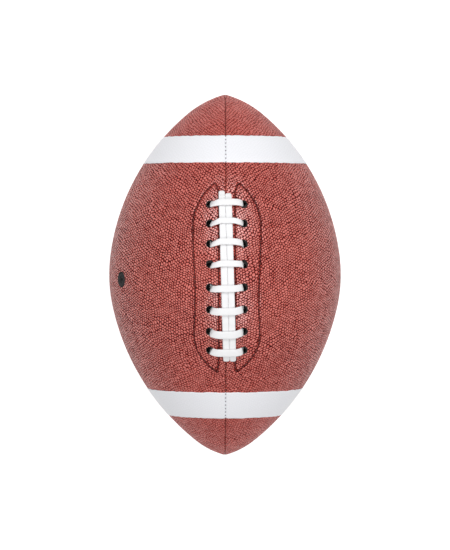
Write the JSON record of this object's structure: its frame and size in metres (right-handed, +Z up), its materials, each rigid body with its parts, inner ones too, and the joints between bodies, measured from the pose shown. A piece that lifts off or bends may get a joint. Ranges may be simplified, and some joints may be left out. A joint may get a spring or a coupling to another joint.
{
  "type": "american football",
  "caption": "Pointed leather ball with sewn panels, white end stripes, raised white lacing, a bladder and a push-in rubber valve for an inflating needle.",
  "frame": {"origin": "on the ground under the ball's middle, with the ball lying on its back seam", "axes": "+X along the ball, +Y across the lacing, +Z up through the lacing"},
  "size_m": [0.272, 0.175, 0.1784],
  "materials": {
    "cover_leather": "pebbled",
    "lining_cloth": "plain",
    "facing_leather": "smooth",
    "stripe_white": "painted",
    "lace_white": "satin",
    "seam_thread": "waxed",
    "facing_thread": "waxed",
    "bladder_rubber": "smooth",
    "valve_rubber": "matt"
  },
  "bodies": {
    "ball": {"panel_lace_left": "cover_leather", "panel_lace_right": "cover_leather", "panel_back_left": "cover_leather", "panel_back_right": "cover_leather", "lining_lace_left": "lining_cloth", "lining_lace_right": "lining_cloth", "lining_back_left": "lining_cloth", "lining_back_right": "lining_cloth", "lace_facing_left": "facing_leather", "lace_facing_right": "facing_leather", "lace_tongue": "facing_leather", "stripe_nose_left": "stripe_white", "stripe_nose_right": "stripe_white", "stripe_tail_left": "stripe_white", "stripe_tail_right": "stripe_white", "lace_cross": "lace_white", "lace_spine": "lace_white", "seam_thread_lace": "seam_thread", "seam_thread_right": "seam_thread", "seam_thread_back": "seam_thread", "seam_thread_left": "seam_thread", "facing_thread_left": "facing_thread", "facing_thread_right": "facing_thread", "bladder": "bladder_rubber", "valve_housing": "valve_rubber"},
    "valve_plug": {"valve_core": "valve_rubber"}
  },
  "joints": [
    {"name": "valve_plug_pull", "type": "slide", "parent": "ball", "child": "valve_plug", "axis": [0, -0.8829, 0.4695], "range_m": [0, 0.013]}
  ]
}
